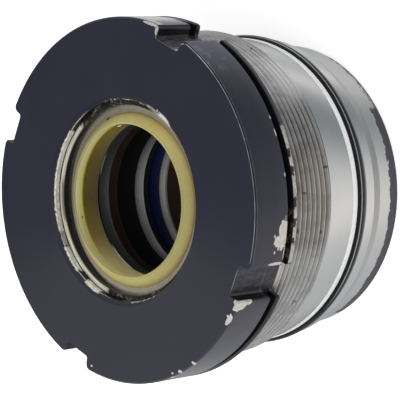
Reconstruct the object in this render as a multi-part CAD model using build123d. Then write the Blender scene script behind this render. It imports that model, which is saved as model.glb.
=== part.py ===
from build123d import *
import math
import os

# Threaded head (gland) of a hydraulic cylinder for a 45 mm rod and a 90 mm tube, with its seals.
# It stands on its nose. The origin is the middle of the nose's end face, and +Z runs along the axis
# to the painted flange. The four hook spanner slots lie on +X, +Y, -X and -Y.
# Depths are measured from the flange's front face towards the nose. All sizes are in millimetres.

# Driving dimensions
ROD_D = 45.0
TUBE_BORE_D = 90.0
THREAD_D = 95.0
FLANGE_D = 103.5
LENGTH = 71.0
SECTION_O_RING = 3.53

# Depths of the outside stations
FLANGE_END = 13.0
LIP_START = 15.5
LIP_END = 16.9
THREAD_END = 35.8
PILOT_START = 38.3
SEAL_GROOVE_START = 48.1
SEAL_GROOVE_END = 53.7
REAR_LAND_END = 57.4
TAPER_END = 63.0

# Outside radii, with the thread and the pilot a running clearance under their nominal sizes
OUTSIDE_CLEARANCE = 0.1
LOCK_GROOVE_DEPTH = 3.45
SEAL_GROOVE_DEPTH = 2.55
NOSE_STEP = 2.5
FLANGE_R = FLANGE_D / 2
THREAD_CREST_R = THREAD_D / 2 - OUTSIDE_CLEARANCE
PILOT_R = TUBE_BORE_D / 2 - OUTSIDE_CLEARANCE
LOCK_GROOVE_R = FLANGE_R - LOCK_GROOVE_DEPTH
SEAL_GROOVE_R = PILOT_R - SEAL_GROOVE_DEPTH
NOSE_R = PILOT_R - NOSE_STEP
FRONT_CHAMFER = 0.6
LIP_ROUND = 0.3
SEAL_EDGE_CHAMFER = 0.35

# Thread, right-handed, cut as a 60 degree V with a narrow flat at the root
THREAD_PITCH = 2.0
THREAD_DEPTH = 1.2
THREAD_FLANK = 30.0
THREAD_ROOT_FLAT = 0.25
THREAD_TURNS = 13
CUTTER_PROUD = 0.12

# Hook spanner slots
SLOT_COUNT = 4
SLOT_W = 9.6
SLOT_DEPTH = 4.05
SLOT_FLOOR_R = FLANGE_R - SLOT_DEPTH
SLOT_CORNER_R = 1.1

# Bore: the lands clear the rod, and the guide ring carries it
LAND_CLEARANCE = 0.25
GUIDE_CLEARANCE = 0.02
LAND_R = ROD_D / 2 + LAND_CLEARANCE
GUIDE_R = ROD_D / 2 + GUIDE_CLEARANCE
MOUTH_CHAMFER = 1.3
HOUSING_D = 57.0
HOUSING_END = 12.8
HOUSING_EDGE = 0.5
SNAP_GROOVE_D = 60.0
SNAP_START = 2.9
SNAP_T = 2.0
SNAP_PLAY = 0.15
ROD_SEAL_GROOVE_D = 55.0
ROD_SEAL_START = 17.0
ROD_SEAL_END = 27.7
BUFFER_GROOVE_D = 60.5
BUFFER_START = 31.3
BUFFER_END = 37.8
GUIDE_GROOVE_D = 50.0
GUIDE_START = 40.6
GUIDE_W = 20.0
GUIDE_PLAY = 0.2
NOSE_CHAMFER = 1.5

# Rings
SNAP_INNER_R = 27.0
SNAP_GAP = 9.0
WIPER_TIP_R = 21.6
WIPER_TIP_DEPTH = 2.5
WIPER_JOINT_R = 24.9
WIPER_JOINT_DEPTH = 4.8
WIPER_TIP_W = 0.6
WIPER_TIP_DROP = 0.1
WIPER_TIP_LENGTH = 3.0
WIPER_REAR = 12.3
CASE_BEVEL = 2.1
CASE_EDGE = 0.5
RING_PLAY = 0.1
SEAL_SQUEEZE = 0.35
SEAL_LIP_R = ROD_D / 2 - SEAL_SQUEEZE
HEEL_R = LAND_R + 0.1
ROD_BACKUP_W = 3.5
ROD_SEAL_V_DEPTH = 3.2
ROD_SEAL_V_W = 0.6
ROD_SEAL_OUTER_BEVEL = (0.7, 0.4)
ROD_SEAL_LIP_BEVEL = (0.7, 0.6)
BUFFER_BACKUP_W = 2.7
BUFFER_V_DEPTH = 1.2
BUFFER_HEEL_RELIEF = 0.2
BUFFER_LIP_BEVEL = (0.6, 0.5)
GUIDE_GAP = 2.0
OUTER_BACKUP_W = 1.9
OUTER_BACKUP_PROUD = 0.1

# Extra reach that lets one cutting or joining solid pass clean through another
REACH = 1.0

# The gaps of the split rings face this way round, between two spanner slots
SPLIT_ANGLE = -63.6


def z_at(depth):
    """Height above the nose's end face of a depth below the flange's front face."""
    return LENGTH - depth


def outline(stations):
    """Half section in the XZ plane through (radius, depth) stations."""
    corners = [(radius, z_at(depth)) for radius, depth in stations]
    return Plane.XZ * make_face(Polyline(*corners, close=True))


def turned(stations):
    """Solid of revolution about Z through (radius, depth) stations."""
    return revolve(outline(stations), axis=Axis.Z)


def tube(inner_r, outer_r, start, end):
    """Plain ring between two radii and two depths."""
    return turned([(inner_r, start), (outer_r, start), (outer_r, end), (inner_r, end)])


def split(ring, gap, inner_r, outer_r):
    """Cut one radial gap through a ring at SPLIT_ANGLE."""
    reach = outer_r - inner_r + 2 * REACH
    cutter = Pos((inner_r + outer_r) / 2, 0, LENGTH / 2) * Box(reach, gap, LENGTH)
    return ring - Rot(0, 0, SPLIT_ANGLE) * cutter


def slotted_disc():
    """Prism of the flange seen from the front: a disc with four slots with rounded outer corners."""
    cut_depth = SLOT_DEPTH + REACH
    slot = Pos(SLOT_FLOOR_R + cut_depth / 2, 0) * Rectangle(cut_depth, SLOT_W)
    disc = Circle(FLANGE_R)
    for step in range(SLOT_COUNT):
        disc -= Rot(0, 0, step * 360 / SLOT_COUNT) * slot
    rim_corners = [v for v in disc.vertices() if math.hypot(v.X, v.Y) > FLANGE_R - 0.01 and on_slot_wall(v)]
    disc = fillet(rim_corners, SLOT_CORNER_R)
    return Pos(0, 0, z_at(LIP_END)) * extrude(disc, LIP_END)


def on_slot_wall(vertex):
    """True for a vertex on the wall of a slot, half a slot's width off the X or Y axis."""
    return abs(min(abs(vertex.X), abs(vertex.Y)) - SLOT_W / 2) < 0.01


def flange():
    """Painted flange, locking groove and thin lip, cut through by the spanner slots."""
    stations = [
        (0, 0),
        (FLANGE_R - FRONT_CHAMFER, 0),
        (FLANGE_R, FRONT_CHAMFER),
        (FLANGE_R, FLANGE_END),
        (LOCK_GROOVE_R, FLANGE_END),
        (LOCK_GROOVE_R, LIP_START),
        (FLANGE_R - LIP_ROUND, LIP_START),
        (FLANGE_R, LIP_START + LIP_ROUND),
        (FLANGE_R, LIP_END - LIP_ROUND),
        (FLANGE_R - LIP_ROUND, LIP_END),
        (0, LIP_END),
    ]
    return turned(stations) & slotted_disc()


def thread_groove():
    """V cutter wound round the axis, one turn per pitch, from under the lip to past the lead-in chamfer."""
    start = LIP_END - THREAD_PITCH * 1.5
    path = Helix(pitch=THREAD_PITCH, height=THREAD_PITCH * THREAD_TURNS, radius=THREAD_CREST_R)
    path = Pos(0, 0, z_at(start + THREAD_PITCH * THREAD_TURNS)) * path
    root = THREAD_ROOT_FLAT / 2
    top = root + (THREAD_DEPTH + CUTTER_PROUD) * math.tan(math.radians(THREAD_FLANK))
    corners = [(-THREAD_DEPTH, -root), (CUTTER_PROUD, -top), (CUTTER_PROUD, top), (-THREAD_DEPTH, root)]
    start_plane = Plane(origin=path @ 0, x_dir=(1, 0, 0), z_dir=(0, 1, 0))
    section = start_plane * make_face(Polyline(*corners, close=True))
    return sweep(section, path=path, is_frenet=True)


def threaded_bar():
    """Round bar with the thread cut along its front end, before it is turned down behind the thread."""
    bar = tube(0, THREAD_CREST_R, FLANGE_END - REACH, LENGTH + REACH)
    return bar - thread_groove()


def shank():
    """Threaded bar turned down to the lead-in chamfer, pilot, seal groove, rear land, taper and nose."""
    stations = [
        (0, LIP_END - REACH),
        (THREAD_CREST_R + REACH, LIP_END - REACH),
        (THREAD_CREST_R + REACH, THREAD_END - REACH),
        (PILOT_R, PILOT_START),
        (PILOT_R, SEAL_GROOVE_START),
        (SEAL_GROOVE_R, SEAL_GROOVE_START),
        (SEAL_GROOVE_R, SEAL_GROOVE_END),
        (PILOT_R - SEAL_EDGE_CHAMFER, SEAL_GROOVE_END),
        (PILOT_R, SEAL_GROOVE_END + SEAL_EDGE_CHAMFER),
        (PILOT_R, REAR_LAND_END),
        (NOSE_R, TAPER_END),
        (NOSE_R, LENGTH),
        (0, LENGTH),
    ]
    return threaded_bar() & turned(stations)


def bore():
    """Everything cut away along the axis: mouth, wiper housing, ring grooves and lands."""
    housing_r = HOUSING_D / 2
    snap_end = SNAP_START + SNAP_T + SNAP_PLAY
    guide_end = GUIDE_START + GUIDE_W + GUIDE_PLAY
    stations = [
        (0, -REACH),
        (housing_r + MOUTH_CHAMFER + REACH, -REACH),
        (housing_r, MOUTH_CHAMFER),
        (housing_r, SNAP_START),
        (SNAP_GROOVE_D / 2, SNAP_START),
        (SNAP_GROOVE_D / 2, snap_end),
        (housing_r, snap_end),
        (housing_r, HOUSING_END),
        (LAND_R, HOUSING_END + HOUSING_EDGE),
        (LAND_R, ROD_SEAL_START),
        (ROD_SEAL_GROOVE_D / 2, ROD_SEAL_START),
        (ROD_SEAL_GROOVE_D / 2, ROD_SEAL_END),
        (LAND_R, ROD_SEAL_END),
        (LAND_R, BUFFER_START),
        (BUFFER_GROOVE_D / 2, BUFFER_START),
        (BUFFER_GROOVE_D / 2, BUFFER_END),
        (LAND_R, BUFFER_END),
        (LAND_R, GUIDE_START),
        (GUIDE_GROOVE_D / 2, GUIDE_START),
        (GUIDE_GROOVE_D / 2, guide_end),
        (LAND_R, guide_end),
        (LAND_R, LENGTH - NOSE_CHAMFER),
        (LAND_R + NOSE_CHAMFER + REACH, LENGTH + REACH),
        (0, LENGTH + REACH),
    ]
    return turned(stations)


def gland_body():
    """The turned steel head, one piece."""
    return flange() + shank() - bore()


def snap_ring():
    """Split retaining ring in the mouth of the wiper housing."""
    outer_r = SNAP_GROOVE_D / 2
    ring = tube(SNAP_INNER_R, outer_r, SNAP_START, SNAP_START + SNAP_T)
    return split(ring, SNAP_GAP, SNAP_INNER_R, outer_r)


def wiper_case():
    """Outer ring of the wiper, pressed into its housing, with a bevelled face."""
    housing_r = HOUSING_D / 2
    bevel_end = WIPER_JOINT_DEPTH + CASE_BEVEL
    stations = [
        (WIPER_JOINT_R, WIPER_JOINT_DEPTH),
        (housing_r - CASE_EDGE, bevel_end),
        (housing_r, bevel_end + CASE_EDGE),
        (housing_r, WIPER_REAR),
        (WIPER_JOINT_R, WIPER_REAR),
    ]
    return turned(stations)


def wiper_lip():
    """Polyurethane scraper with a sharp forward tip, smaller than the rod until the rod stretches it."""
    stations = [
        (WIPER_TIP_R, WIPER_TIP_DEPTH),
        (WIPER_TIP_R + WIPER_TIP_W, WIPER_TIP_DEPTH + WIPER_TIP_DROP),
        (WIPER_JOINT_R, WIPER_JOINT_DEPTH),
        (WIPER_JOINT_R, WIPER_REAR),
        (WIPER_TIP_R + WIPER_TIP_W, WIPER_REAR),
        (WIPER_TIP_R + WIPER_TIP_W, WIPER_TIP_DEPTH + WIPER_TIP_LENGTH),
    ]
    return turned(stations)


def rod_seal_backup():
    """Nylon ring that stops the rod seal from squeezing out towards the wiper."""
    start = ROD_SEAL_START + RING_PLAY
    return tube(LAND_R, ROD_SEAL_GROOVE_D / 2, start, start + ROD_BACKUP_W)


def rod_seal():
    """U-section seal with both lips facing the pressure, at the nose end of its groove."""
    outer_r = ROD_SEAL_GROOVE_D / 2
    start = ROD_SEAL_START + RING_PLAY + ROD_BACKUP_W
    end = ROD_SEAL_END - RING_PLAY
    v_end = end - ROD_SEAL_V_DEPTH
    mid_r = (SEAL_LIP_R + outer_r) / 2
    outer_radial, outer_axial = ROD_SEAL_OUTER_BEVEL
    lip_radial, lip_axial = ROD_SEAL_LIP_BEVEL
    stations = [
        (HEEL_R, start),
        (outer_r, start),
        (outer_r, end - outer_axial),
        (outer_r - outer_radial, end),
        (mid_r + ROD_SEAL_V_W / 2, v_end),
        (mid_r - ROD_SEAL_V_W / 2, v_end),
        (SEAL_LIP_R + lip_radial, end),
        (SEAL_LIP_R, end - lip_axial),
    ]
    return turned(stations)


def buffer_backup():
    """Heel ring behind the buffer ring."""
    start = BUFFER_START + RING_PLAY
    return tube(HEEL_R, BUFFER_GROOVE_D / 2, start, start + BUFFER_BACKUP_W)


def buffer_ring():
    """Polyurethane ring that takes pressure peaks before the rod seal, notched on its pressure side."""
    outer_r = BUFFER_GROOVE_D / 2
    start = BUFFER_START + RING_PLAY + BUFFER_BACKUP_W
    end = BUFFER_END - RING_PLAY
    mid_r = (SEAL_LIP_R + outer_r) / 2
    lip_radial, lip_axial = BUFFER_LIP_BEVEL
    stations = [
        (SEAL_LIP_R + BUFFER_HEEL_RELIEF, start),
        (outer_r, start),
        (outer_r, end),
        (mid_r + BUFFER_V_DEPTH, end),
        (mid_r, end - BUFFER_V_DEPTH),
        (mid_r - BUFFER_V_DEPTH, end),
        (SEAL_LIP_R + lip_radial, end),
        (SEAL_LIP_R, end - lip_axial),
    ]
    return turned(stations)


def wear_ring():
    """Split guide ring that carries the rod, with a small gap."""
    outer_r = GUIDE_GROOVE_D / 2
    start = GUIDE_START + GUIDE_PLAY / 2
    ring = tube(GUIDE_R, outer_r, start, start + GUIDE_W)
    return split(ring, GUIDE_GAP, GUIDE_R, outer_r)


def outer_backup_ring():
    """White ring on the thread side of the outside seal groove."""
    outer_r = PILOT_R + OUTER_BACKUP_PROUD
    return tube(SEAL_GROOVE_R, outer_r, SEAL_GROOVE_START, SEAL_GROOVE_START + OUTER_BACKUP_W)


def outer_o_ring():
    """O-ring that seals the head in the tube, resting on the groove's floor."""
    minor_r = SECTION_O_RING / 2
    backup_end = SEAL_GROOVE_START + OUTER_BACKUP_W
    middle = z_at((backup_end + SEAL_GROOVE_END) / 2)
    return Pos(0, 0, middle) * Torus(SEAL_GROOVE_R + minor_r, minor_r)


NODES = [
    gland_body,
    snap_ring,
    wiper_case,
    wiper_lip,
    rod_seal_backup,
    rod_seal,
    buffer_backup,
    buffer_ring,
    wear_ring,
    outer_backup_ring,
    outer_o_ring,
]

os.makedirs("parts", exist_ok=True)
for make_node in NODES:
    export_step(make_node(), f"parts/{make_node.__name__}.step")
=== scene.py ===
# %% [markdown]
# # Dressing a hydraulic cylinder's head
#
# The part is the threaded head that closes a hydraulic cylinder and lets its rod through: a painted flange with
# four slots for a hook spanner, a fine thread, a ground pilot, and a bore full of seals. Its solids come from a
# CAD model. This lesson gives them the surfaces of the real thing: paint with chips, turned and ground steel,
# dirty thread roots, and nylon, rubber and polyurethane rings.
#
# The first cell loads the CAD model. Its solids stay where they are, and everything added here is placed from
# them.

# %% Load the frame
from math import atan2, cos, degrees, hypot, pi, radians, sin, sqrt, tan

import bpy
from mathutils import Matrix, Vector
from mathutils.geometry import tessellate_polygon


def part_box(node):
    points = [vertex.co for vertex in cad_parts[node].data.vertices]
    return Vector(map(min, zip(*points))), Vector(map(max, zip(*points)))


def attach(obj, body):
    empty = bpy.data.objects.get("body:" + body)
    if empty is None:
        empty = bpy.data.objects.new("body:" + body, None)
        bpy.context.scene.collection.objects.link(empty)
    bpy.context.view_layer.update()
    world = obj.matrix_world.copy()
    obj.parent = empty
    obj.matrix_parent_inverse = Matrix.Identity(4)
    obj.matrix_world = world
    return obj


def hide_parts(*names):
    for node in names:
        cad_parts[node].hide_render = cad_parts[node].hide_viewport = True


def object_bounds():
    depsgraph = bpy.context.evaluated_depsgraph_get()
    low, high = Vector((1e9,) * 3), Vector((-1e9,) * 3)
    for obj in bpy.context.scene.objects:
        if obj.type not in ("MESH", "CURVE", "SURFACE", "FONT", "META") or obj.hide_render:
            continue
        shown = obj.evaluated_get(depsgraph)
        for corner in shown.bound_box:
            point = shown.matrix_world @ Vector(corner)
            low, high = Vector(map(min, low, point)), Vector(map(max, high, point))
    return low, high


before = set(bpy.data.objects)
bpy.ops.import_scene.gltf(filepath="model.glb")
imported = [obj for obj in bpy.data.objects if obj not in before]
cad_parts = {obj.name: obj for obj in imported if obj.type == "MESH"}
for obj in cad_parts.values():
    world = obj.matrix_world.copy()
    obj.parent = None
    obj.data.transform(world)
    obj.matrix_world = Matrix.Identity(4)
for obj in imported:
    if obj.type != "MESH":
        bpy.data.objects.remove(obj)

MM = 0.001
cad_low, cad_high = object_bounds()
LENGTH = cad_high.z / MM
print("nodes:", sorted(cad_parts))
print("the head is", round(LENGTH, 2), "mm tall")

# %% [markdown]
# ## Sizes
#
# The head is a turned part, so almost all of its shape is a list of stations: a radius at a depth below the
# flange's front face. The main sizes are named once. Those of the rings are read from the CAD nodes, so a
# changed ring changes here as well.

# %% Main sizes, in millimetres
FLANGE_R = 51.75
FLANGE_END = 13
LIP_START, LIP_END = 15.5, 16.9
LOCK_GROOVE_R = 48.3
SLOT_HALF_W = 4.8
SLOT_FLOOR_R = 47.7
SLOT_CORNER_R = 1.1
FRONT_CORNER_R = 2
FLOOR_CORNER_R = 0.9
PITCH = 2
CREST_R = 47.4
ROOT_R = 46.2
THREAD_END, PILOT_START = 35.8, 38.3
PILOT_R = 44.9
GROOVE_START, GROOVE_END = 48.1, 53.7
GROOVE_R = 42.35
LAND_END, TAPER_END = 57.4, 63
NOSE_R = 42.4
NOSE_CHAMFER = 1.5
BORE_R = 22.75
# start, end and radius of the grooves for the guide ring and the seals, from the nose to the mouth
BORE_GROOVES = [(40.6, 60.8, 25), (31.3, 37.8, 30.25), (17, 27.7, 27.5)]
HOUSING_END, FIRST_LAND = 12.8, 13.3
HOUSING_R = 28.5
SNAP_START, SNAP_END, SNAP_R = 2.9, 5.05, 30
MOUTH_CHAMFER = 1.3
# rounding of the rim's edges, and how far the front edge is broken, inwards and down
EDGE = 0.18
FRONT_EDGE, FRONT_END = 0.6, 0.8
# faces round a turned piece and round the thread
SEGMENTS, THREAD_SEGMENTS = 384, 480


def ring_size(node):
    """Inner radius, outer radius, front depth and rear depth of a CAD ring, in millimetres."""
    low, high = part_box(node)
    radii = [hypot(v.co.x, v.co.y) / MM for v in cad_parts[node].data.vertices]
    return min(radii), max(radii), LENGTH - high.z / MM, LENGTH - low.z / MM


for ring in ("snap_ring", "wiper_lip", "wiper_case", "outer_o_ring"):
    print(ring, [round(x, 2) for x in ring_size(ring)])

# %% [markdown]
# ## The camera
#
# The head stands on its nose. The camera looks down on it from the front left and is turned on its side, so the
# rod's axis runs across the picture with the flange on the left. A long lens keeps the circles nearly true.
# Angles round the head are measured anticlockwise as seen from the flange, from the side that the camera sees
# as its right; one of the spanner slots then stands at 63.6 degrees.

# %% Camera
SLOT_ANGLE = 63.6
CAMERA_AZIMUTH, CAMERA_ELEVATION, CAMERA_ROLL = -59.581, 45.430, -95.633
CAMERA_DISTANCE = 628.65 * MM
LENS = 193.26
AIM = Vector((-2.53, 0.63, 37.29)) * MM


def direction(azimuth, elevation):
    """Unit vector towards an azimuth and an elevation, both in degrees."""
    a, e = radians(azimuth), radians(elevation)
    return Vector((cos(e) * cos(a), cos(e) * sin(a), sin(e)))


camera = bpy.data.objects.new("camera", bpy.data.cameras.new("camera"))
bpy.context.scene.collection.objects.link(camera)
camera.data.lens = LENS
camera.data.sensor_width = 36
back = direction(CAMERA_AZIMUTH, CAMERA_ELEVATION)
up = (Vector((0, 0, 1)) - back * back.z).normalized()
side = up.cross(back)
facing = Matrix((side, up, back)).transposed() @ Matrix.Rotation(radians(CAMERA_ROLL), 3, "Z")
camera.matrix_world = Matrix.Translation(AIM + back * CAMERA_DISTANCE) @ facing.to_4x4()
bpy.context.scene.camera = camera
print("camera at", [round(x, 3) for x in camera.matrix_world.translation])

# %% [markdown]
# ## Sections with real edges
#
# No edge on a machined part is perfectly sharp. A corner that is rounded by a tenth or two of a millimetre
# catches a thin line of light, and that line is much of what makes metal look like metal. So each station may
# carry a rounding, and a helper swaps the corner for a short arc before the section is turned.

# %% Round the corners of a section
def rounded(stations, closed=False, steps=3):
    """(radius, depth, rounding) corners with each corner swapped for an arc."""
    count = len(stations)
    result = []
    for i, (radius, depth, rounding) in enumerate(stations):
        corner = Vector((radius, depth))
        if not rounding or (not closed and i in (0, count - 1)):
            result.append(corner)
            continue
        to_last = Vector(stations[i - 1][:2]) - corner
        to_next = Vector(stations[(i + 1) % count][:2]) - corner
        half = to_last.angle(to_next) / 2
        reach = min(rounding / tan(half), 0.45 * to_last.length, 0.45 * to_next.length)
        start = corner + to_last.normalized() * reach
        end = corner + to_next.normalized() * reach
        for k in range(steps + 1):
            t = k / steps
            result.append(start * (1 - t) ** 2 + corner * 2 * t * (1 - t) + end * t * t)
    return result


print("a rounded corner has", len(rounded([(0, 0, 0), (5, 0, 1), (5, 5, 0)])), "points")

# %% [markdown]
# ## Turning a section
#
# `turned` spins a section round the axis and makes a mesh of quads. Faces that meet at a sharp angle keep a
# sharp edge and all others shade smoothly. A closed section gives a ring. A `sweep` under 360 degrees gives a
# split ring, and its two ends are capped.

# %% Turn a section into a mesh
def finish_mesh(name, points, faces, sharp_above=38):
    """Mesh object from points in millimetres, smooth but for its sharp edges, riding on the head."""
    mesh = bpy.data.meshes.new(name)
    mesh.from_pydata([Vector(p) * MM for p in points], [], faces)
    mesh.validate()
    mesh.shade_smooth()
    piece = bpy.data.objects.new(name, mesh)
    bpy.context.scene.collection.objects.link(piece)
    mesh.set_sharp_from_angle(angle=radians(sharp_above))
    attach(piece, "root")
    print(f"{name}: {len(mesh.polygons)} faces")
    return piece


def quads(rays, count, whole=False, closed=False):
    """Faces between neighbouring rays, each a row of the same count of points."""
    faces = []
    spans = range(count if closed else count - 1)
    for i in range(rays if whole else rays - 1):
        a, b = i * count, (i + 1) % rays * count
        faces += [(a + j, a + (j + 1) % count, b + (j + 1) % count, b + j) for j in spans]
    return faces


def turned(name, section, closed=False, middle=0, sweep=360):
    """Spin a section of (radius, depth) points round the axis."""
    whole = sweep >= 360
    rays = SEGMENTS if whole else SEGMENTS + 1
    first = radians(middle - sweep / 2)
    step = radians(sweep) / SEGMENTS
    points = []
    for i in range(rays):
        c, s = cos(first + i * step), sin(first + i * step)
        points += [(r * c, r * s, LENGTH - d) for r, d in section]
    n = len(section)
    faces = quads(rays, n, whole, closed)
    if not whole:
        faces.append(tuple(range(n)))
        faces.append(tuple((rays - 1) * n + j for j in reversed(range(n))))
    return finish_mesh(name, points, faces)

# %% [markdown]
# ## The slotted flange
#
# The flange is a disc with four slots that a hook spanner grips. The turning tool made its steps: the chamfer,
# the locking groove and the thin lip that is bent into the tube to lock the head. Then a cutter milled the slots
# through all of them. The mesh is made the same way round: one outline of the slotted disc, repeated at each
# step's depth, with every point pulled in to that step's radius. Points on a slot's wall slide along the wall,
# so the walls stay flat. The cutter left a small radius between wall and floor. The chamfered front edge is worn
# rounder at the slots than the rim is, so its few steps have outlines of their own.

# %% Outline of the slotted disc
RIM_STEPS = 96


def slot_outline(rim_r, corner_r):
    """(x, y, on_wall) round one slot on +X and along the rim to the next slot."""
    corner = Vector((sqrt((rim_r - corner_r) ** 2 - (SLOT_HALF_W + corner_r) ** 2), SLOT_HALF_W + corner_r))
    leaves = atan2(corner.y, corner.x)
    turns = [leaves + (-pi / 2 - leaves) * k / 6 for k in range(7)]
    down = [(corner.x + corner_r * cos(a), corner.y + corner_r * sin(a), True) for a in turns]
    deep, flat = SLOT_FLOOR_R + FLOOR_CORNER_R, SLOT_HALF_W - FLOOR_CORNER_R
    down += [(deep + (corner.x - deep) * k / 5, SLOT_HALF_W, True) for k in range(4, 0, -1)]
    turns = [pi / 2 + pi / 2 * k / 6 for k in range(7)]
    down += [(deep + FLOOR_CORNER_R * cos(a), flat + FLOOR_CORNER_R * sin(a), True) for a in turns]
    bottom = [(SLOT_FLOOR_R, flat * (1 - 2 * k / 6), True) for k in range(1, 6)]
    up_again = [(x, -y, wall) for x, y, wall in reversed(down)]
    span = pi / 2 - 2 * leaves
    turns = [leaves + span * k / RIM_STEPS for k in range(1, RIM_STEPS)]
    rim = [(rim_r * cos(a), rim_r * sin(a), False) for a in turns]
    return list(reversed(down + bottom + up_again)) + rim


def disc_outline(rim_r, corner_r):
    """The outline all round, anticlockwise."""
    points = []
    for quarter in range(4):
        turn = Matrix.Rotation(quarter * pi / 2, 2)
        points += [(turn @ Vector((x, y)), turn @ Vector((1, 0)), wall) for x, y, wall in slot_outline(rim_r, corner_r)]
    return points


OUTLINE = disc_outline(FLANGE_R, SLOT_CORNER_R)
print("outline of", len(OUTLINE), "points")

# %% Flange mesh
def pulled_in(point, along, wall, limit):
    """An outline point moved in to a radius: along the slot's own axis on a wall, else towards the centre."""
    if point.length <= limit:
        return point
    if not wall:
        return point * (limit / point.length)
    across = point - along * point.dot(along)
    return across + along * sqrt(limit ** 2 - across.length_squared)


def close_face(points, loop, hole_r, depth, up):
    """Flat face between an outline and a round hole. Adds the hole's points and returns the triangles."""
    first = len(points)
    turns = [2 * pi * k / SEGMENTS for k in range(SEGMENTS)]
    points += [(hole_r * cos(t), hole_r * sin(t), LENGTH - depth) for t in turns]
    index = list(loop) + list(range(first, len(points)))
    flat = [Vector(points[i]) for i in index]
    cut = len(loop)
    faces = []
    for corners in tessellate_polygon((flat[:cut], flat[cut:])):
        a, b, c = (index[k] for k in corners)
        turn = (Vector(points[b]) - Vector(points[a])).cross(Vector(points[c]) - Vector(points[a])).z
        faces.append((a, b, c) if (turn > 0) == up else (a, c, b))
    return faces


# front face, rim, locking groove and lip
steps = [
    (0, FLANGE_R - FRONT_EDGE), (0.5, FLANGE_R - 0.1), (0.62, FLANGE_R - 0.03), (FRONT_END, FLANGE_R),
    (4, FLANGE_R), (8, FLANGE_R), (FLANGE_END - 2 * EDGE, FLANGE_R),
    (FLANGE_END - EDGE / 2, FLANGE_R - EDGE / 2), (FLANGE_END, FLANGE_R - 2 * EDGE),
    (FLANGE_END, LOCK_GROOVE_R), (LIP_START, LOCK_GROOVE_R),
    (LIP_START, FLANGE_R - 2 * EDGE), (LIP_START + EDGE / 2, FLANGE_R - EDGE / 2),
    (LIP_START + 2 * EDGE, FLANGE_R), (LIP_END - 2 * EDGE, FLANGE_R),
    (LIP_END - EDGE / 2, FLANGE_R - EDGE / 2), (LIP_END, FLANGE_R - 2 * EDGE),
]
levels = []
for depth, limit in steps:
    outline = OUTLINE
    if depth < FRONT_END:
        worn = (FLANGE_R - limit) / FRONT_EDGE
        outline = disc_outline(limit, SLOT_CORNER_R + (FRONT_CORNER_R - SLOT_CORNER_R) * worn)
    levels.append([(pulled_in(p, a, w, limit), depth) for p, a, w in outline])
points = [(p.x, p.y, LENGTH - depth) for level in levels for p, depth in level]
n = len(OUTLINE)
faces = []
for row in range(len(levels) - 1):
    a, b = row * n, (row + 1) * n
    faces += [(a + j, b + j, b + (j + 1) % n, a + (j + 1) % n) for j in range(n)]
last = len(points) - n
faces += close_face(points, range(n), HOUSING_R + MOUTH_CHAMFER, 0, up=True)
faces += close_face(points, range(last, last + n), ROOT_R - 0.5, LIP_END, up=False)
flange = finish_mesh("gland_flange", points, faces, sharp_above=20)

# %% [markdown]
# ## The thread
#
# This is a fine right-hand thread, 95 mm across with a 2 mm pitch. A bump map would give it a smooth outline
# against the light, so its turns are real here, as they are in the CAD model. This mesh follows the same helix
# and adds the rounding that a die leaves at crest and root. Each row goes 2 mm deeper with every turn clockwise,
# and the rows sit where the 60 degree profile bends, so they need few quads. At the end everything is held
# inside the lead-in chamfer.

# %% Thread mesh
# offset along the axis and radius of one pitch, from the middle of a crest
flat = PITCH / 10
flank = flat + (CREST_R - ROOT_R) * tan(radians(30))
profile = [
    (-flat, CREST_R - 0.05), (-flat / 2, CREST_R), (flat / 2, CREST_R), (flat, CREST_R - 0.05),
    ((flat + flank) / 2, (CREST_R + ROOT_R) / 2), (flank, ROOT_R + 0.1), (PITCH / 2, ROOT_R),
    (PITCH - flank, ROOT_R + 0.1), (PITCH - (flat + flank) / 2, (CREST_R + ROOT_R) / 2),
]
# helical rows from behind the lip to the end of the lead-in chamfer
turns = range(-1, int((PILOT_START - LIP_END) / PITCH) + 3)
rows = [(LIP_END + turn * PITCH + offset, radius) for turn in turns for offset, radius in profile]
points = []
for i in range(THREAD_SEGMENTS + 1):
    angle = 2 * pi * i / THREAD_SEGMENTS
    c, s = cos(angle), sin(angle)
    for row_depth, radius in rows:
        depth = min(max(row_depth - PITCH * i / THREAD_SEGMENTS + PITCH, LIP_END), PILOT_START)
        held = min(radius, CREST_R - max(0, depth - THREAD_END))
        held = max(held, PILOT_R) if depth < PILOT_START else PILOT_R - 0.05
        points.append((held * c, held * s, LENGTH - depth))
thread = finish_mesh("gland_thread", points, quads(THREAD_SEGMENTS + 1, len(rows)), sharp_above=50)

# %% [markdown]
# ## Pilot, seal groove and nose
#
# Behind the thread come the ground pilot that centres the head in the tube, the groove for the outside seal, a
# second ground land, a taper, and a rougher nose. They are plain turned steps.

# %% Shank mesh
nose_mouth = BORE_R + NOSE_CHAMFER
shank = turned("gland_shank", rounded([
    (PILOT_R - 0.1, PILOT_START - 0.1, 0), (PILOT_R, PILOT_START, 0.1),
    (PILOT_R, GROOVE_START, 0.12), (GROOVE_R, GROOVE_START, 0.2),
    (GROOVE_R, GROOVE_END, 0.2), (PILOT_R - 0.35, GROOVE_END, 0.1), (PILOT_R, GROOVE_END + 0.35, 0.12),
    (PILOT_R, LAND_END, 0.3), (NOSE_R, TAPER_END, 0.5),
    (NOSE_R, LENGTH, 0.35), (nose_mouth, LENGTH, 0.1), (nose_mouth - 0.1, LENGTH - 0.1, 0),
]))

# %% [markdown]
# ## The bore
#
# The bore is seen from the flange. It has a chamfered mouth, the wiper's housing, and three lands between the
# grooves of the seals. The list runs from the nose to the mouth, so the faces look inwards.

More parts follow.
